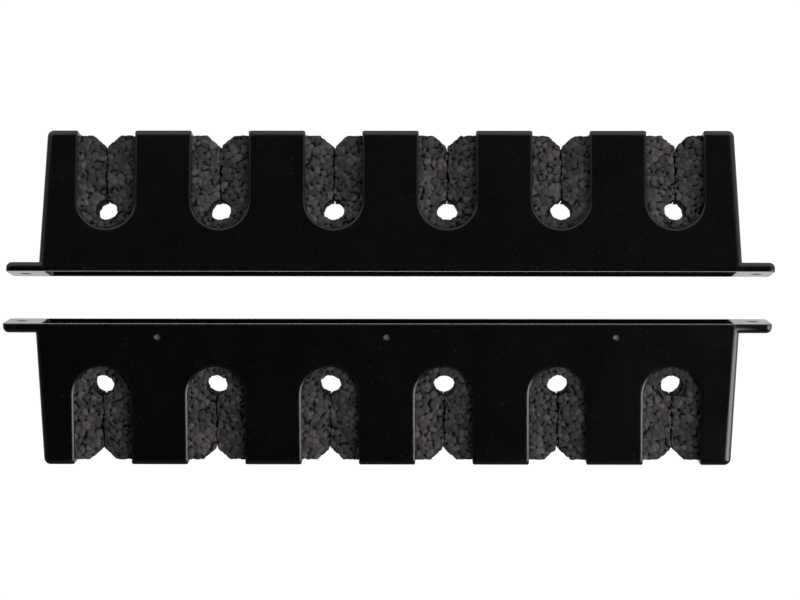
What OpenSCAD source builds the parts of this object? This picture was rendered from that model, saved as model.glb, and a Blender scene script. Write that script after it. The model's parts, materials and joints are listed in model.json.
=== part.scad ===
// Wall cue rack: two identical moulded rails lying back to back on the floor.
// Each rail is a drafted, open-backed plastic shell with U-shaped cue slots and
// a screw ear at each end, and it holds one notched foam strip.
// A rail is drawn with its wall face on y = 0, its slots opening towards +Y and
// its middle plane on z = 0, and is then laid down on one of its drafted plates.

/* [Rail body] */
// Number of cue slots in each rail
slot_count = 6; // [3:1:8]
// Distance between neighbouring slot centres
slot_pitch = 50.8; // [42:0.1:60]
// Distance from an end slot's centre to the end of the body at the wall
end_margin = 29.8; // [26:0.1:45]
// Depth of the body from the wall to its front face
rail_depth = 63.6; // [60:0.1:75]
// Thickness of the body at the wall
back_height = 33; // [30:0.5:40]
// Draft of the two plates, in degrees
draft = 3.8; // [2:0.1:4.5]
// Draft of the end walls, in degrees
end_draft = 3; // [1:0.1:5]
// Thickness of the moulded walls
wall = 2.3; // [1.8:0.1:2.8]
// Rounding of the outer edges
edge_r = 3; // [2.8:0.1:4]

/* [Slots] */
// Width of a slot at the plate surface
slot_w = 27.8; // [22:0.1:32]
// Depth of a slot from the front face to the bottom of its U
slot_depth = 45.3; // [38:0.1:47]
// Rounding of the slot edges
slot_edge_r = 1.1; // [0.8:0.1:1.7]

/* [Foam strip] */
// Depth of the strip from its front to its back
foam_depth = 48.7; // [48:0.1:52]
// Distance from the front of the strip to the hole centres
hole_set = 33.5; // [30:0.1:38]
// Diameter of the holes that hold the cues
hole_d = 9.2; // [7:0.1:12]
// Width of the V notch in front of each hole
notch_w = 12; // [8:0.5:16]
// Depth of the V notch
notch_depth = 5.3; // [4:0.1:8]
// Width of the slit between notch and hole
slit_w = 0.4; // [0.2:0.1:1]
// Clearance between the strip and the shell
foam_clear = 0.15; // [0.1:0.05:0.5]

/* [Screw ears] */
// Length of an ear beyond the end of the body
ear_len = 14.4; // [12:0.1:22]
// Thickness of an ear
ear_t = 4.2; // [3.2:0.1:6]
// Rounding of the ear's front edges and corners
ear_r = 2.6; // [1.5:0.1:3]
// Diameter of the screw holes
screw_d = 5; // [3.5:0.1:6]

/* [Layout] */
// Gap between the two rails at the floor
rail_gap = 19.1; // [5:0.1:60]
// Sideways offset of the lower rail
lower_shift = -1.4; // [-5:0.1:5]

/* [Hidden] */
corner_fn = 32;
bore_fn = 64;
slope = tan(draft);
end_slope = tan(end_draft);
half_len = (slot_count - 1) * slot_pitch / 2 + end_margin;
half_back = back_height / 2;
inner_r = 1.6;
inner_len = half_len - wall / cos(end_draft);
inner_back = half_back - wall / cos(draft);
front_in = rail_depth - wall;
core_half = slot_w / 2 - slot_edge_r;
flare_start = 152;
u_centre_y = rail_depth - slot_depth + slot_w / 2;
foam_back_y = front_in - foam_depth;
hole_y = front_in - hole_set;
foam_corner = 1;
foam_end_gap = inner_r + foam_clear;
lug_pitch = slot_pitch * 2.01;
lug_w = 8;
lug_len = 4.5;
lug_rise = 2.2;
mark_y = 6;
mark_d = 2.4;
mark_deep = 0.3;
lift = half_back * cos(draft);
wall_y = rail_gap / 2 + half_back * sin(draft);

function slot_x(i) = (i - (slot_count - 1) / 2) * slot_pitch;

// Section of what rounds one slot edge: it leaves the straight cut at a crease
// and opens to the full slot width at the surface, which is at 0
module edge_flare() {
    arc_x = slot_w / 2 + slot_edge_r * cos(flare_start);
    arc_y = slot_edge_r * (sin(flare_start) - 1);
    polygon(concat(
        [[core_half - 1, arc_y + (arc_x - core_half + 1) / tan(flare_start)]],
        [for (a = [flare_start:-14:96])
            [slot_w / 2 + slot_edge_r * cos(a), slot_edge_r * (sin(a) - 1)]],
        [[slot_w / 2, 1], [slot_w / 2, 2 * wall], [core_half - 1, 2 * wall]]
    ));
}

// Drafted block with rounded edges, half_w by half_t at y = 0
module drafted_block(half_w, half_t, y0, y1, r) {
    x_back = half_w - y0 * end_slope - r;
    z_back = half_t - y0 * slope - r;
    x_front = half_w - (y1 - r) * end_slope - r / cos(end_draft);
    z_front = half_t - (y1 - r) * slope - r / cos(draft);
    hull() {
        for (sx = [-1, 1], sz = [-1, 1]) {
            translate([sx * x_back, y0, sz * z_back])
                rotate([-90, 0, 0]) cylinder(r = r, h = 0.01, $fn = corner_fn);
            translate([sx * x_front, y1 - r, sz * z_front]) sphere(r = r, $fn = corner_fn);
        }
    }
}

// Screw ear at the +X end, its back flush with the wall face
module ear() {
    x_in = half_len - edge_r;
    x_out = half_len + ear_len - ear_r;
    z_out = half_back - ear_t * slope - ear_r;
    hull() {
        for (x = [x_in, x_out], sz = [-1, 1]) {
            translate([x, 0, sz * z_out])
                rotate([-90, 0, 0]) cylinder(r = ear_r, h = 0.01, $fn = corner_fn);
            translate([x, ear_t - ear_r, sz * z_out]) sphere(r = ear_r, $fn = corner_fn);
        }
    }
}

// Turns into the plane of the +Z plate: z = 0 is its outer surface
module on_plate() {
    translate([0, 0, half_back]) rotate([-draft, 0, 0]) children();
}

// Straight part of one slot, through both plates and the front wall
module slot_core() {
    translate([0, u_centre_y, 0])
        cylinder(r = core_half, h = 2 * back_height, center = true, $fn = bore_fn);
    translate([-core_half, u_centre_y, -back_height])
        cube([2 * core_half, rail_depth, 2 * back_height]);
}

// Rounding of one slot's edges on the +Z plate
module plate_flare() {
    on_plate() translate([0, u_centre_y, 0]) {
        rotate_extrude($fn = bore_fn) edge_flare();
        for (side = [0, 1]) mirror([side, 0, 0])
            translate([0, rail_depth, 0]) rotate([90, 0, 0])
                linear_extrude(rail_depth) edge_flare();
    }
}

// Rounding of one slot's edges on the front wall
module front_flare() {
    for (side = [0, 1]) mirror([side, 0, 0])
        translate([0, rail_depth, -half_back]) linear_extrude(back_height) edge_flare();
}

// Snap lug inside the +Z plate that stops the foam strip from sliding out
module foam_lug() {
    y0 = foam_back_y - foam_clear - lug_len;
    y1 = foam_back_y - foam_clear;
    rotate([90, 0, 90]) translate([0, 0, -lug_w / 2]) linear_extrude(lug_w)
        polygon([
            [y0, inner_back - y0 * slope + wall / 2],
            [y0, inner_back - y0 * slope],
            [y1 - 1, inner_back - y1 * slope - lug_rise],
            [y1, inner_back - y1 * slope - lug_rise],
            [y1, inner_back - y1 * slope + wall / 2]
        ]);
}

module rail_shell() {
    difference() {
        union() {
            drafted_block(half_len, half_back, 0, rail_depth, edge_r);
            ear();
            mirror([1, 0, 0]) ear();
        }
        translate([-rail_depth * 5, -rail_depth, -back_height])
            cube([rail_depth * 10, rail_depth, 2 * back_height]);
        drafted_block(inner_len, inner_back, -1, front_in, inner_r);
        for (i = [0:slot_count - 1]) translate([slot_x(i), 0, 0]) {
            slot_core();
            plate_flare();
            mirror([0, 0, 1]) plate_flare();
            front_flare();
        }
        for (sx = [-1, 1]) translate([sx * (half_len + ear_len / 2), -1, 0])
            rotate([-90, 0, 0]) cylinder(d = screw_d, h = ear_t + 2, $fn = bore_fn);
        on_plate() for (i = [-1:1]) translate([i * lug_pitch, mark_y, -mark_deep])
            cylinder(d = mark_d, h = 1, $fn = bore_fn);
    }
    for (i = [-1:1]) translate([i * lug_pitch, 0, 0]) foam_lug();
}

// Outline of the foam strip from above, notched and slit at each slot
module foam_plan() {
    y_front = front_in - foam_clear;
    x_back = inner_len - foam_end_gap - foam_back_y * end_slope;
    x_front = inner_len - foam_end_gap - y_front * end_slope;
    difference() {
        polygon([
            [-x_back, foam_back_y], [x_back, foam_back_y],
            [x_front, y_front - foam_corner], [x_front - foam_corner, y_front],
            [foam_corner - x_front, y_front], [-x_front, y_front - foam_corner]
        ]);
        for (i = [0:slot_count - 1]) translate([slot_x(i), y_front]) {
            polygon([[-notch_w / 2, 0], [0, -notch_depth], [notch_w / 2, 0], [0, 1]]);
            translate([-slit_w / 2, hole_y - y_front])
                square([slit_w, y_front - hole_y - notch_depth + 1]);
        }
    }
}

// Section of the foam strip across the rail, a wedge between the two plates
module foam_section() {
    y_front = front_in - foam_clear;
    z_back = inner_back - foam_clear - foam_back_y * slope;
    z_front = inner_back - foam_clear - y_front * slope;
    polygon([
        [foam_back_y, -z_back], [y_front - foam_corner, -z_front],
        [y_front, foam_corner - z_front], [y_front, z_front - foam_corner],
        [y_front - foam_corner, z_front], [foam_back_y, z_back]
    ]);
}

module foam_strip() {
    difference() {
        intersection() {
            translate([0, 0, -half_back]) linear_extrude(back_height) foam_plan();
            rotate([90, 0, 90]) translate([0, 0, -half_len])
                linear_extrude(2 * half_len) foam_section();
        }
        for (i = [0:slot_count - 1]) translate([slot_x(i), hole_y, 0])
            cylinder(d = hole_d, h = 2 * back_height, center = true, $fn = bore_fn);
    }
}

// The upper rail lies on its marked plate, with its slots towards +Y
module upper_place() {
    translate([-lower_shift / 2, wall_y, lift])
        rotate([-draft, 0, 0]) rotate([0, 180, 0]) children();
}

// The lower rail lies on its plain plate, with its slots towards -Y
module lower_place() {
    translate([lower_shift / 2, -wall_y, lift])
        rotate([0, 0, 180]) rotate([-draft, 0, 0]) children();
}

module upper_rail_shell() { color("#17171a") upper_place() rail_shell(); }
module upper_foam_strip() { color("#3d3d40") upper_place() foam_strip(); }
module lower_rail_shell() { color("#17171a") lower_place() rail_shell(); }
module lower_foam_strip() { color("#3d3d40") lower_place() foam_strip(); }

upper_rail_shell();
upper_foam_strip();
lower_rail_shell();
lower_foam_strip();
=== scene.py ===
"""Looks of the wall cue rack: two moulded black rails with bonded-bead foam inside.

Everything is in metres, in the CAD frame: +X along the rails, +Y towards the upper rail, +Z up.
Each rail also has a frame of its own, worked out from its mounts: its wall face is on y = 0, its slots
open towards +y, its middle plane is on z = 0 and +z is the side that faces up.
"""

import json
import math

import bmesh
import bpy
import numpy as np
from mathutils import Matrix, Vector
from mathutils.geometry import delaunay_2d_cdt
from mathutils.kdtree import KDTree


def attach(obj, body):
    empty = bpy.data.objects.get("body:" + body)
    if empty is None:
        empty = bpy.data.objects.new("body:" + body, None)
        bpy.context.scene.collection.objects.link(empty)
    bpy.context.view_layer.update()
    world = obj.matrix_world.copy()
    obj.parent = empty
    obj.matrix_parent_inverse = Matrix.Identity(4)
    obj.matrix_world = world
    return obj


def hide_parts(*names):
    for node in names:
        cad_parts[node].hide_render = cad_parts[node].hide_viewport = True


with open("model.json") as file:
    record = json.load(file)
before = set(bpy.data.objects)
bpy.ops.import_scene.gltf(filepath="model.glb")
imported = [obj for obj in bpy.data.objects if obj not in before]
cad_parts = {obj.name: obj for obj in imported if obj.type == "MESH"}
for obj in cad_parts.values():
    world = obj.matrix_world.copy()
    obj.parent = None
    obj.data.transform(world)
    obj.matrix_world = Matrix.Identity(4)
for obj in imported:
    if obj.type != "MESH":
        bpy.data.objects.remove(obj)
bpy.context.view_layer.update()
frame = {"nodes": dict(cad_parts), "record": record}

MM = 0.001
MOUNTS = {m["name"]: m for m in frame["record"]["mounts"]}
SLOTS = sorted(int(n.rsplit("_", 1)[1]) for n in MOUNTS if n.startswith("upper_cue_hole_"))

# ---------------------------------------------------------------- rail frames


class Rail:
    """One rail's own frame and the places in it that its pieces need."""

    def __init__(self, name):
        self.name = name
        holes = [MOUNTS[f"{name}_cue_hole_{k}"] for k in SLOTS]
        wall = MOUNTS[f"{name}_wall_face"]
        places = [Vector(h["pos_m"]) for h in holes]
        out = -Vector(wall["axis"]).normalized()
        up = Vector(holes[0]["axis"]).normalized()
        along = out.cross(up).normalized()
        middle = sum(places, Vector()) / len(places)
        self.hole_y = (places[0] - Vector(wall["pos_m"])).dot(out)
        self.origin = middle - out * self.hole_y
        turn = Matrix((along, out, up)).transposed()
        self.matrix = Matrix.Translation(self.origin) @ turn.to_4x4()
        self.slot_x = sorted((p - self.origin).dot(along) for p in places)
        self.hole_r = holes[0]["dims"]["r_mm"] * MM

    def to_local(self, node):
        """A CAD node's vertices in the rail's frame."""
        mesh = frame["nodes"][node].data
        co = np.empty(len(mesh.vertices) * 3)
        mesh.vertices.foreach_get("co", co)
        inverse = np.array(self.matrix.inverted())
        return co.reshape(-1, 3) @ inverse[:3, :3].T + inverse[:3, 3]


# ---------------------------------------------------------------- node helpers


def new_material(name):
    mat = bpy.data.materials.new(name)
    mat.use_nodes = True
    mat.node_tree.nodes.clear()
    return mat


class Graph:
    """Short ways to add and link shader nodes."""

    def __init__(self, tree):
        self.tree = tree

    def node(self, kind, **settings):
        n = self.tree.nodes.new(kind)
        for key, value in settings.items():
            if hasattr(n, key):
                setattr(n, key, value)
            else:
                n.inputs[key.replace("_", " ").title()].default_value = value
        return n

    def link(self, source, target):
        self.tree.links.new(source, target)

    def math(self, operation, a, b=0.0, clamp=False):
        n = self.node("ShaderNodeMath", operation=operation, use_clamp=clamp)
        for socket, value in zip(n.inputs, (a, b)):
            if isinstance(value, (int, float)):
                socket.default_value = value
            else:
                self.link(value, socket)
        return n.outputs[0]

    def scaled(self, value, by, plus):
        n = self.node("ShaderNodeMath", operation="MULTIPLY_ADD")
        self.link(value, n.inputs[0])
        n.inputs[1].default_value = by
        n.inputs[2].default_value = plus
        return n.outputs[0]

    def ramp(self, factor, stops):
        n = self.node("ShaderNodeValToRGB")
        while len(n.color_ramp.elements) < len(stops):
            n.color_ramp.elements.new(0.5)
        for element, (at, colour) in zip(n.color_ramp.elements, stops):
            element.position = at
            element.color = (*colour, 1) if isinstance(colour, tuple) else (colour,) * 3 + (1,)
        self.link(factor, n.inputs["Fac"])
        return n.outputs["Color"]

    def mix(self, factor, a, b, blend="MIX"):
        n = self.node("ShaderNodeMix", data_type="RGBA", blend_type=blend)
        for socket, value in ((n.inputs[0], factor), (n.inputs[6], a), (n.inputs[7], b)):
            if isinstance(value, (int, float)):
                socket.default_value = value
            elif isinstance(value, tuple):
                socket.default_value = (*value, 1)
            else:
                self.link(value, socket)
        return n.outputs[2]

    def noise(self, vector, scale, detail=2.0, roughness=0.5):
        n = self.node("ShaderNodeTexNoise")
        n.inputs["Scale"].default_value = scale
        n.inputs["Detail"].default_value = detail
        n.inputs["Roughness"].default_value = roughness
        self.link(vector, n.inputs["Vector"])
        return n.outputs["Fac"]

    def bump(self, height, distance, strength=1.0, normal=None):
        n = self.node("ShaderNodeBump")
        n.inputs["Strength"].default_value = strength
        n.inputs["Distance"].default_value = distance
        self.link(height, n.inputs["Height"])
        if normal is not None:
            self.link(normal, n.inputs["Normal"])
        return n.outputs["Normal"]


# ---------------------------------------------------------------- materials

# Plastic: colours, roughness with what the patches and the rubbed edges add to it, and relief
PLASTIC_DARK, PLASTIC_LIGHT = (0.0014, 0.0014, 0.0017), (0.0030, 0.0030, 0.0034)
# the moulding marks' grey is a painted highlight: the light their upper side catches, painted onto the
# real marks
SPECK, RUBBED, MARK_PAINTED_HIGHLIGHT = (0.012, 0.012, 0.012), (0.016, 0.016, 0.017), (0.10, 0.10, 0.10)
PLASTIC_ROUGH, PATCH_ROUGH, RUB_ROUGH = 0.17, 0.12, 0.12
EDGE_ROUND, WAVE_HEIGHT, GRAIN_HEIGHT = 1.3 * MM, 0.5 * MM, 0.03 * MM
RUB_COVER, PLASTIC_IOR = 0.6, 1.48

# Foam: colours from the darkest bead to the lightest, roughness and relief
BEAD_TONES = [(0.0, (0.042, 0.038, 0.037)), (0.5, (0.074, 0.067, 0.066)), (1.0, (0.125, 0.113, 0.112))]
# painted shade: the seams' grooves are painted darker, and the pits and the cue holes' walls nearly black
SEAM_PAINTED_SHADE, PIT_PAINTED_SHADE = (0.015, 0.0145, 0.0145), (0.0015, 0.0015, 0.0015)
CLOUD_COVER, CELL_COVER, SEAM_COVER = 0.6, 0.5, 0.5
FOAM_ROUGH, CELL_ROUGH = 0.62, 0.25
CLOUD_HEIGHT, CELL_HEIGHT = 0.6 * MM, 0.18 * MM
FOAM_IOR, FOAM_SHINE = 1.4, 0.3

# Light table: what of its glow is reflected, along y and along x, each plus FLOOR_SHIFT
FLOOR_SHIFT = 0.5
GLOW_ACROSS = [(0.40, 0.06), (0.455, 0.90), (0.545, 0.90), (0.62, 0.35)]
GLOW_ALONG = [(0.28, 0.15), (0.32, 1.0)]
FLOOR_GREY, FLOOR_ROUGH = (0.08, 0.08, 0.08, 1), 0.9


def black_plastic():
    """Satin black moulded plastic: fine spark-eroded grain, slow flow waves, rubbed edges."""
    mat = new_material("black_plastic")
    g = Graph(mat.node_tree)
    where = g.node("ShaderNodeTexCoord").outputs["Object"]
    grain = g.noise(where, 2600, 3, 0.6)
    patches = g.noise(where, 60, 4, 0.6)
    waves = g.noise(where, 14, 2, 0.4)
    specks = g.noise(where, 900, 1, 0.5)

    rounded = g.node("ShaderNodeBevel", samples=6, Radius=EDGE_ROUND).outputs["Normal"]
    turned = g.node("ShaderNodeVectorMath", operation="DOT_PRODUCT")
    g.link(rounded, turned.inputs[0])
    g.link(g.node("ShaderNodeNewGeometry").outputs["Normal"], turned.inputs[1])
    worn = g.ramp(turned.outputs["Value"], [(0.86, 1.0), (0.98, 0.0)])
    rub = g.math("MULTIPLY", worn, g.ramp(patches, [(0.42, 0.0), (0.62, 1.0)]))
    base = g.mix(patches, PLASTIC_DARK, PLASTIC_LIGHT)
    base = g.mix(g.ramp(specks, [(0.70, 0.0), (0.74, 1.0)]), base, SPECK)
    base = g.mix(g.math("MULTIPLY", rub, RUB_COVER), base, RUBBED)
    # painted highlight: the moulding marks, real recesses in the plate, are painted light grey
    mark_highlight = g.node("ShaderNodeAttribute", attribute_name="mark_highlight").outputs["Fac"]
    base = g.mix(mark_highlight, base, MARK_PAINTED_HIGHLIGHT)

    rough = g.scaled(patches, PATCH_ROUGH, PLASTIC_ROUGH)
    rough = g.math("ADD", rough, g.math("MULTIPLY", rub, RUB_ROUGH), clamp=True)

    normal = g.bump(waves, WAVE_HEIGHT, 0.4, rounded)
    normal = g.bump(grain, GRAIN_HEIGHT, 0.5, normal)

    shader = g.node("ShaderNodeBsdfPrincipled")
    shader.inputs["IOR"].default_value = PLASTIC_IOR
    g.link(base, shader.inputs["Base Color"])
    g.link(rough, shader.inputs["Roughness"])
    g.link(normal, shader.inputs["Normal"])
    g.link(shader.outputs[0], g.node("ShaderNodeOutputMaterial").inputs["Surface"])
    return mat


def bead_foam():
    """Bonded-bead foam: charcoal beads of slightly different greys, with painted shade in the seams, and
    darker painted shade in the pits and on the cue holes' walls.
    """
    mat = new_material("bead_foam")
    g = Graph(mat.node_tree)
    where = g.node("ShaderNodeTexCoord").outputs["Object"]
    bead = g.node("ShaderNodeAttribute", attribute_name="bead").outputs["Color"]
    parts = g.node("ShaderNodeSeparateColor")
    g.link(bead, parts.inputs[0])
    tone, seam, pit = parts.outputs[0], parts.outputs[1], parts.outputs[2]
    cells = g.noise(where, 1500, 3, 0.65)
    cloud = g.noise(where, 90, 3, 0.5)

    base = g.ramp(tone, BEAD_TONES)
    base = g.mix(CLOUD_COVER, base, g.ramp(cloud, [(0.3, 0.55), (0.7, 1.0)]), "MULTIPLY")
    base = g.mix(CELL_COVER, base, g.ramp(cells, [(0.35, 0.45), (0.65, 1.0)]), "MULTIPLY")
    # painted shade in the seams' grooves
    base = g.mix(g.math("MULTIPLY", seam, SEAM_COVER), base, SEAM_PAINTED_SHADE)
    # painted shade in the pits and on the cue holes' walls
    base = g.mix(pit, base, PIT_PAINTED_SHADE)

    rough = g.scaled(cells, CELL_ROUGH, FOAM_ROUGH)
    normal = g.bump(cloud, CLOUD_HEIGHT, 0.6)
    normal = g.bump(cells, CELL_HEIGHT, 0.8, normal)

    shader = g.node("ShaderNodeBsdfPrincipled")
    shader.inputs["IOR"].default_value = FOAM_IOR
    shader.inputs["Specular IOR Level"].default_value = FOAM_SHINE
    g.link(base, shader.inputs["Base Color"])
    g.link(rough, shader.inputs["Roughness"])
    g.link(normal, shader.inputs["Normal"])
    g.link(shader.outputs[0], g.node("ShaderNodeOutputMaterial").inputs["Surface"])
    return mat


def light_table():
    """Plain pale light table: evenly white to the camera, but reflected mostly from the rails' gap."""
    mat = new_material("pale_light_table")
    g = Graph(mat.node_tree)
    parts = g.node("ShaderNodeSeparateXYZ")
    g.link(g.node("ShaderNodeTexCoord").outputs["Object"], parts.inputs[0])
    across = g.ramp(g.math("ADD", parts.outputs[1], FLOOR_SHIFT), GLOW_ACROSS)
    along = g.ramp(g.math("ADD", parts.outputs[0], FLOOR_SHIFT), GLOW_ALONG)
    glow = g.math("MULTIPLY", across, along)
    seen = g.node("ShaderNodeLightPath").outputs["Is Camera Ray"]
    strength = g.math("MAXIMUM", glow, seen)
    shader = g.node("ShaderNodeBsdfPrincipled")
    shader.inputs["Base Color"].default_value = FLOOR_GREY
    shader.inputs["Roughness"].default_value = FLOOR_ROUGH
    shader.inputs["Specular IOR Level"].default_value = 0.0
    shader.inputs["Emission Color"].default_value = (1, 1, 1, 1)
    g.link(strength, shader.inputs["Emission Strength"])
    g.link(shader.outputs[0], g.node("ShaderNodeOutputMaterial").inputs["Surface"])
    return mat


# ---------------------------------------------------------------- rail shells

SMOOTH_ANGLE, FLAT_ANGLE = math.radians(38), math.radians(0.1)
WELD = 2e-6
RIM_R, RIM_STEPS = 1.7 * MM, 4
ON_WALL, FACES_WALL, FACES_OUT = 0.05 * MM, -0.99, 0.95
MARK_X, MARK_Y, MARK_R = (-102.1 * MM, 0.0, 102.1 * MM), 6 * MM, 1.3 * MM
MARK_PLATE_Z = 14 * MM


def on_rim(edge, inverse):
    """Whether an edge joins the wall side to the outside of a plate."""
    if len(edge.link_faces) != 2 or any(abs((inverse @ v.co).y) >= ON_WALL for v in edge.verts):
        return False
    ways = [inverse.to_3x3() @ f.normal for f in edge.link_faces]
    plate = max(ways, key=lambda w: abs(w.z))
    if min(w.y for w in ways) >= FACES_WALL or abs(plate.z) <= FACES_OUT:
        return False
    return (inverse @ edge.verts[0].co).z * plate.z > 0


def round_rim(bm, rail):
    """Rounds the long outer edges around the open wall side."""
    bmesh.ops.dissolve_limit(bm, angle_limit=FLAT_ANGLE, verts=bm.verts, edges=bm.edges)
    inverse = rail.matrix.inverted()
    rim = [edge for edge in bm.edges if on_rim(edge, inverse)]
    bmesh.ops.bevel(
        bm, geom=rim, offset=RIM_R, segments=RIM_STEPS, profile=0.5, affect="EDGES", clamp_overlap=True
    )


def paint_mark_highlights(mesh, rail):
    """Gives the faces of the plate's three moulding marks a value that the plastic reads to paint them
    light grey, a painted highlight on the real marks.
    """
    mark_highlight = mesh.attributes.new("mark_highlight", "FLOAT", "FACE")
    inverse = rail.matrix.inverted()
    for face in mesh.polygons:
        corners = [inverse @ mesh.vertices[i].co for i in face.vertices]
        off = [math.hypot(min(abs(c.x - x) for x in MARK_X), c.y - MARK_Y) for c in corners]
        marked = max(off) < MARK_R and abs(corners[0].z) > MARK_PLATE_Z
        mark_highlight.data[face.index].value = float(marked)


def make_shell(rail, mat):
    """The CAD shell's own shape with its facets welded and shaded as one moulding."""
    node = f"{rail.name}_rail_shell"
    mesh = frame["nodes"][node].data.copy()
    mesh.name = f"{rail.name}_shell_moulding"
    bm = bmesh.new()
    bm.from_mesh(mesh)
    bmesh.ops.remove_doubles(bm, verts=bm.verts, dist=WELD)
    bmesh.ops.dissolve_degenerate(bm, edges=bm.edges, dist=WELD)
    round_rim(bm, rail)
    for layer in list(bm.loops.layers.float_vector):
        bm.loops.layers.float_vector.remove(layer)
    for edge in bm.edges:
        edge.smooth = len(edge.link_faces) == 2 and edge.calc_face_angle(0.0) < SMOOTH_ANGLE
    for face in bm.faces:
        face.smooth = True
    bm.to_mesh(mesh)
    bm.free()
    paint_mark_highlights(mesh, rail)
    if "custom_normal" in mesh.attributes:
        mesh.attributes.remove(mesh.attributes["custom_normal"])
    mesh.materials.clear()
    mesh.materials.append(mat)
    shell = bpy.data.objects.new(mesh.name, mesh)
    bpy.context.scene.collection.objects.link(shell)
    weighted = shell.modifiers.new("even_shading", "WEIGHTED_NORMAL")
    weighted.mode = "FACE_AREA"
    weighted.keep_sharp = True
    weighted.weight = 100
    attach(shell, "root")
    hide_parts(node)
    return shell


# ---------------------------------------------------------------- foam strips

NOTCH_W, NOTCH_D = 12 * MM, 5.1 * MM
SLIT_W, BEND, BEND_FADE = 0.22 * MM, 1.1 * MM, 1.5 * MM
CHAMFER, NEAR = 1 * MM, 0.1 * MM
HOLE_FROM, HOLE_TO, HOLE_POINTS = 87, -267, 44

# How a slit wanders: how far and over what depth, slowly and quickly
SLOW, SLOW_DEPTH = 0.28 * MM, 1.9 * MM
QUICK, QUICK_DEPTH, QUICK_PHASE = 0.17 * MM, 0.83 * MM, 2.3
SLOT_PHASE, UPPER_PHASE = 1.7, 0.9

# Spacing of the mesh: fine in the window that a slot opens, coarse elsewhere, and layered up the walls
FINE, COARSE, BACK_STEP, LAYER = 0.6 * MM, 3 * MM, 1.2 * MM, 0.85 * MM
WINDOW_W, WINDOW_BACK = 30 * MM, 15.5 * MM
INSIDE_ONLY, SAME_POINT = 1, 1e-7

# Size of the beads, and how far their centres are moved off the grid
BEAD, JITTER = 2.9 * MM, 0.46


def strip_limits(rail):
    """Half length, back, front and the half thickness at both, from the CAD solid."""
    p = rail.to_local(f"{rail.name}_foam_strip")
    back, front = p[:, 1].min(), p[:, 1].max()
    x_back, _, z_back = p[p[:, 1] < back + NEAR].max(0)
    x_front, _, z_front = p[(p[:, 1] < front - 0.5 * MM) & (p[:, 1] > front - 2 * MM)].max(0)
    return x_back, x_front, back, front, z_back, z_front


def stretch(a, b, step):
    """Points from a up to b, without b, about step apart."""
    count = max(1, round(math.dist(a, b) / step))
    return [tuple(a[k] + (b[k] - a[k]) * i / count for k in (0, 1)) for i in range(count)]


def slit_wobble(y, phase):
    """How far the torn slit wanders from its middle line at a depth."""
    slow = SLOW * math.sin(y / SLOW_DEPTH + phase)
    quick = QUICK * math.sin(y / QUICK_DEPTH + QUICK_PHASE * phase)
    return slow + quick


def slit_bend(rail, loop, front):
    """How far the slits' walls lean aside at mid height, so that no light comes straight through."""
    start, end = rail.hole_y + rail.hole_r, front - NOTCH_D
    y = loop[:, 1]
    off = np.abs(loop[:, 0][:, None] - np.array(rail.slot_x)).min(1)
    fade = np.clip((y - start) / BEND_FADE, 0, 1) * np.clip((end - y) / BEND_FADE, 0, 1)
    return BEND * fade * (off < BEND_FADE)


def plan_loop(rail, limits):
    """The strip's outline from above, as one loop: each slit runs into its hole."""
    x_back, x_front, back, front, _, _ = limits
    loop = stretch((-x_back, back), (x_back, back), BACK_STEP)
    loop += stretch((x_back, back), (x_front, front - CHAMFER), COARSE)
    loop += stretch((x_front, front - CHAMFER), (x_front - CHAMFER, front), FINE)
    here = (x_front - CHAMFER, front)
    for k, x in reversed(list(enumerate(rail.slot_x))):
        window = x + WINDOW_W / 2
        notch_r, notch_l = (x + NOTCH_W / 2, front), (x - NOTCH_W / 2, front)
        loop += stretch(here, (window, front), COARSE)
        loop += stretch((window, front), notch_r, FINE)
        phase = SLOT_PHASE * k + (UPPER_PHASE if rail.name == "upper" else 0.0)
        top, bottom = front - NOTCH_D, rail.hole_y + rail.hole_r
        depths = np.arange(top - FINE, bottom + 0.3 * FINE, -FINE)
        half = SLIT_W / 2
        loop += stretch(notch_r, (x + half + slit_wobble(top, phase), top), FINE)
        loop += [(x + half + slit_wobble(y, phase), y) for y in depths]
        around = np.linspace(math.radians(HOLE_FROM), math.radians(HOLE_TO), HOLE_POINTS)
        loop += [(x + rail.hole_r * math.cos(a), rail.hole_y + rail.hole_r * math.sin(a)) for a in around]
        loop += [(x - half + slit_wobble(y, phase), y) for y in depths[::-1]]
        loop += stretch((x - half + slit_wobble(top, phase), top), notch_l, FINE)
        here = (x - WINDOW_W / 2, front)
        loop += stretch(notch_l, here, FINE)
    loop += stretch(here, (-x_front + CHAMFER, front), COARSE)
    loop += stretch((-x_front + CHAMFER, front), (-x_front, front - CHAMFER), FINE)
    loop += stretch((-x_front, front - CHAMFER), (-x_back, back), COARSE)
    return np.array(loop)


def inside(points, loop):
    """Which points lie inside a closed loop."""
    x, y = points[:, 0][:, None], points[:, 1][:, None]
    a, b = loop, np.roll(loop, -1, axis=0)
    crosses = (a[:, 1] > y) != (b[:, 1] > y)
    with np.errstate(divide="ignore", invalid="ignore"):
        at = a[:, 0] + (y - a[:, 1]) / (b[:, 1] - a[:, 1]) * (b[:, 0] - a[:, 0])
    return (crosses & (x < at)).sum(1) % 2 == 1


def grid(x0, x1, y0, y1, step):
    """A hexagonal grid of points."""
    points = []
    for row, y in enumerate(np.arange(y0, y1, step * math.sqrt(0.75))):
        points += [(x, y) for x in np.arange(x0 + (row % 2) * step / 2, x1, step)]
    return np.array(points)


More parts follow.
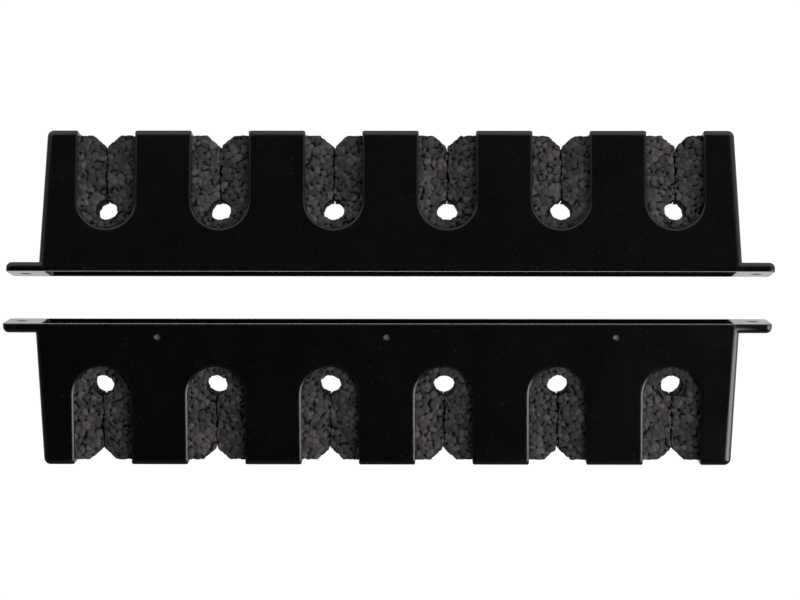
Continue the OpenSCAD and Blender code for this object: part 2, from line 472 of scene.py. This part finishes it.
def fill_points(rail, limits, loop):
    """Points inside the strip: close together where a slot shows the foam, wide apart elsewhere."""
    x_back, _, back, front, _, _ = limits
    wide = grid(-x_back, x_back, back, front, COARSE)
    for x in rail.slot_x:
        aside = np.abs(wide[:, 0] - x) > WINDOW_W / 2 + COARSE / 2
        behind = wide[:, 1] < WINDOW_BACK - COARSE / 2
        wide = wide[aside | behind]
    near = [grid(x - WINDOW_W / 2, x + WINDOW_W / 2, WINDOW_BACK, front, FINE) for x in rail.slot_x]
    kept = []
    edge = KDTree(len(loop))
    for i, (x, y) in enumerate(loop):
        edge.insert((x, y, 0), i)
    edge.balance()
    for points, gap in [(wide, COARSE * 0.5)] + [(n, FINE * 0.55) for n in near]:
        points = points[inside(points, loop)]
        kept += [(x, y) for x, y in points if edge.find((x, y, 0))[2] > gap]
    return kept


def bead_seeds(limits, rng):
    """Bead centres through the whole strip, on a jittered grid."""
    x_back, _, back, front, z_back, _ = limits
    margin = 2 * BEAD
    spans = ((-x_back, x_back), (back, front), (-z_back, z_back))
    axes = [np.arange(low - margin, high + margin, BEAD) for low, high in spans]
    p = np.stack(np.meshgrid(*axes, indexing="ij"), -1).reshape(-1, 3)
    p[:, 1] += 0.5 * BEAD * (np.round((p[:, 0] - p[0, 0]) / BEAD) % 2)
    return p + rng.uniform(-JITTER, JITTER, p.shape) * BEAD


def strip_surface(rail, limits):
    """Points and faces of the smooth strip: its two flat sides, joined by layered walls."""
    _, _, back, front, z_back, z_front = limits
    loop = plan_loop(rail, limits)
    points = [Vector(p) for p in loop] + [Vector(p) for p in fill_points(rail, limits, loop)]
    rim = len(loop)
    ring = [(i, (i + 1) % rim) for i in range(rim)]
    flat, _, faces, _, _, _ = delaunay_2d_cdt(points, ring, [list(range(rim))], INSIDE_ONLY, SAME_POINT)
    plan = np.array([tuple(p) for p in flat])
    count = len(plan)
    layers = round((z_back + z_front) / LAYER)

    z = z_back + (z_front - z_back) * (plan[:, 1] - back) / (front - back)
    walls = []
    for k in range(1, layers):
        level = 1 - 2 * k / layers
        wall = np.column_stack([loop, z[:rim] * level])
        wall[:, 0] += slit_bend(rail, loop, front) * math.cos(level * math.pi / 2)
        walls.append(wall)
    verts = np.vstack([np.column_stack([plan, z]), np.column_stack([plan, -z]), *walls])

    polys = [tuple(f) for f in faces] + [tuple(count + i for i in reversed(f)) for f in faces]
    levels = [np.arange(rim)] + [2 * count + k * rim + np.arange(rim) for k in range(layers - 1)]
    levels.append(count + np.arange(rim))
    for above, below in zip(levels, levels[1:]):
        polys += [(above[i], below[i], below[j], above[j]) for i, j in ring]
    return verts, [tuple(int(i) for i in p) for p in polys]


def make_foam(rail, mat, seed):
    """A closed mesh of one foam strip whose surface is cut through its beads."""
    limits = strip_limits(rail)
    rng = np.random.default_rng(seed)
    verts, polys = strip_surface(rail, limits)
    mesh = bpy.data.meshes.new(f"{rail.name}_bead_foam")
    mesh.from_pydata(verts.tolist(), [], polys)
    mesh.update()
    normals = np.empty(len(verts) * 3)
    mesh.vertices.foreach_get("normal", normals)

    verts, bead = shape_beads(verts, normals.reshape(-1, 3), rail, limits, rng)
    mesh.vertices.foreach_set("co", verts.ravel())
    colours = mesh.attributes.new("bead", "FLOAT_COLOR", "POINT")
    colours.data.foreach_set("color", bead.ravel())
    mesh.polygons.foreach_set("use_smooth", np.ones(len(mesh.polygons), bool))
    mesh.transform(rail.matrix)
    mesh.materials.append(mat)
    mesh.update()
    foam = bpy.data.objects.new(mesh.name, mesh)
    bpy.context.scene.collection.objects.link(foam)
    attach(foam, "root")
    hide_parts(f"{rail.name}_foam_strip")
    return foam


# What a bead's surface takes away: its own depth, its dome, its seams and the pits at open corners
BEAD_STEP, DOME = 0.22 * MM, 0.08 * MM
GROOVE, GROOVE_W = 0.38 * MM, 0.42 * MM
PIT, PIT_W, PIT_CHANCE = 1.3 * MM, 0.62 * MM, 0.30
# HOLE_SHADE is painted shade on the cue holes' walls, starting HOLE_LIP below the flat sides
HOLE_SHADE, HOLE_LIP = 0.8, 0.8 * MM
SWELL, FACES_FRONT = 0.45 * MM, 0.6

# How deep the lips of a slit sink, and over what width, depth and thickness
SAG, SAG_SHARE = 1.7 * MM, 1.3
SAG_WIDTH, SAG_DEPTH, SAG_HEIGHT = 14 * MM, 12 * MM, 8 * MM
UNDER_SAG = -0.4


def shape_beads(verts, normals, rail, limits, rng):
    """The points moved in by what beads, seams and pits take away, and a colour that says which: a random
    bead tone, and masks of the seams, pits and hole walls for painted shade.
    """
    seeds = bead_seeds(limits, rng)
    tree = KDTree(len(seeds))
    for i, s in enumerate(seeds):
        tree.insert(s, i)
    tree.balance()
    tones = rng.random(len(seeds))
    heights = rng.uniform(0, BEAD_STEP, len(seeds))
    void = rng.random(len(seeds))
    found = [tree.find_n(v, 3) for v in verts]
    first, second, third = (np.array([f[k][1] for f in found]) for k in range(3))
    d1, d2, d3 = (np.array([f[k][2] for f in found]) for k in range(3))
    seam = np.exp(-(((d2 - d1) / GROOVE_W) ** 2))
    open_corner = (void[first] + void[second] + void[third]) % 1.0 < PIT_CHANCE
    pit = open_corner * np.exp(-(((d3 - d1) / PIT_W) ** 2))
    depth = heights[first] + GROOVE * seam + PIT * pit + DOME * (d1 / BEAD) ** 2
    swell = SWELL * (normals[:, 1] > FACES_FRONT)
    moved = verts - normals * (depth - swell)[:, None]

    z_front = limits[-1]
    for x in rail.slot_x:
        # the walls of the hole, below its lip, get painted shade through the pit mask
        in_hole = np.hypot(verts[:, 0] - x, verts[:, 1] - rail.hole_y) < rail.hole_r + NEAR
        pit = np.maximum(pit, HOLE_SHADE * (in_hole & (np.abs(verts[:, 2]) < z_front - HOLE_LIP)))

        # the lips of the slit sink towards it
        away = np.abs(verts[:, 0] - x) / SAG_WIDTH
        inward = np.clip((verts[:, 1] - WINDOW_BACK) / SAG_DEPTH, 0, 1)
        lip = np.clip(1 - away, 0, 1) ** SAG_SHARE * inward
        moved[:, 2] -= SAG * lip * np.clip(verts[:, 2] / SAG_HEIGHT, UNDER_SAG, 1)
    # colour: the random bead tone, then the seam and pit masks that the foam paints as shade
    bead = np.column_stack([tones[first], seam, pit, np.ones(len(verts))])
    return moved, bead.astype(np.float32)


# ---------------------------------------------------------------- stage

FLOOR_SIZE = 6

# One softbox: where it stands, where it points, its size and its watts
BOX_AT, BOX_TO, BOX_SIZE, BOX_W = (1.35, -0.50, 0.80), (0.05, 0, 0), (0.95, 1.7), 34

# The studio as it is reflected: how bright it is over the height of a direction, times a sum of
# what all sides have and what the far side (+Y) and the right side (+X) have more
SKY_HEIGHT = [(0.0, 1.0), (0.40, 0.8), (0.72, 0.22), (0.90, 0.03)]
ALL_SIDES = 0.15
FAR_SIDE, FAR_GAIN = [(0.10, 0.0), (0.60, 1.0)], 1.75
RIGHT_SIDE, RIGHT_GAIN = [(0.20, 0.0), (0.80, 1.0)], 0.25
WHITE = (1, 1, 1, 1)


def make_floor(mat):
    bpy.ops.mesh.primitive_plane_add(size=FLOOR_SIZE, location=(0, 0, 0))
    floor = bpy.context.object
    floor.name = "floor"
    floor.data.materials.append(mat)


def softbox(name, place, target, size, power):
    data = bpy.data.lights.new(name, "AREA")
    data.shape = "RECTANGLE"
    data.size, data.size_y = size
    data.energy = power
    lamp = bpy.data.objects.new(name, data)
    bpy.context.scene.collection.objects.link(lamp)
    lamp.location = place
    lamp.rotation_euler = (Vector(target) - Vector(place)).to_track_quat("-Z", "Y").to_euler()


def make_lights():
    """One softbox, and a studio around it that is plain white to the camera."""
    softbox("right_softbox", BOX_AT, BOX_TO, BOX_SIZE, BOX_W)
    world = bpy.data.worlds.new("studio")
    bpy.context.scene.world = world
    world.use_nodes = True
    world.node_tree.nodes.clear()
    g = Graph(world.node_tree)
    way = g.node("ShaderNodeTexCoord").outputs["Generated"]
    parts = g.node("ShaderNodeSeparateXYZ")
    g.link(way, parts.inputs[0])
    height = g.ramp(parts.outputs[2], SKY_HEIGHT)
    far = g.math("MULTIPLY", g.ramp(parts.outputs[1], FAR_SIDE), FAR_GAIN)
    right = g.math("MULTIPLY", g.ramp(parts.outputs[0], RIGHT_SIDE), RIGHT_GAIN)
    sides = g.math("ADD", g.math("ADD", far, right), ALL_SIDES)
    background = g.node("ShaderNodeBackground")
    background.inputs["Color"].default_value = WHITE
    g.link(g.math("MULTIPLY", height, sides), background.inputs["Strength"])
    plain = g.node("ShaderNodeBackground")
    plain.inputs["Color"].default_value = WHITE
    choose = g.node("ShaderNodeMixShader")
    g.link(g.node("ShaderNodeLightPath").outputs["Is Camera Ray"], choose.inputs[0])
    g.link(background.outputs[0], choose.inputs[1])
    g.link(plain.outputs[0], choose.inputs[2])
    g.link(choose.outputs[0], g.node("ShaderNodeOutputWorld").inputs["Surface"])


# Overhead camera: 800 x 600 pixels cover 357 x 268 mm at the height LOOKED_AT_Z
VIEW_W, LOOKED_AT_Z, CAMERA_UP = 0.3573, 0.025, 1.55
CAMERA_X, CAMERA_Y = 0.0185, -0.00105
AIM_X, TURN = 0.0050, 0.001
SENSOR_W = 36


def make_camera():
    data = bpy.data.cameras.new("camera")
    data.sensor_width = SENSOR_W
    data.lens = SENSOR_W * CAMERA_UP / VIEW_W
    data.clip_start, data.clip_end = 0.05, 20
    camera = bpy.data.objects.new("camera", data)
    bpy.context.scene.collection.objects.link(camera)
    camera.location = (CAMERA_X, CAMERA_Y, LOOKED_AT_Z + CAMERA_UP)
    camera.rotation_euler = (0, math.atan2(CAMERA_X - AIM_X, CAMERA_UP), TURN)
    bpy.context.scene.camera = camera


FOAM_SEED = 41

make_camera()
bpy.context.scene.view_settings.view_transform = "Standard"
make_lights()
make_floor(light_table())
plastic, foam_look = black_plastic(), bead_foam()
for number, rail_name in enumerate(("upper", "lower")):
    rail = Rail(rail_name)
    make_shell(rail, plastic)
    make_foam(rail, foam_look, FOAM_SEED + number)
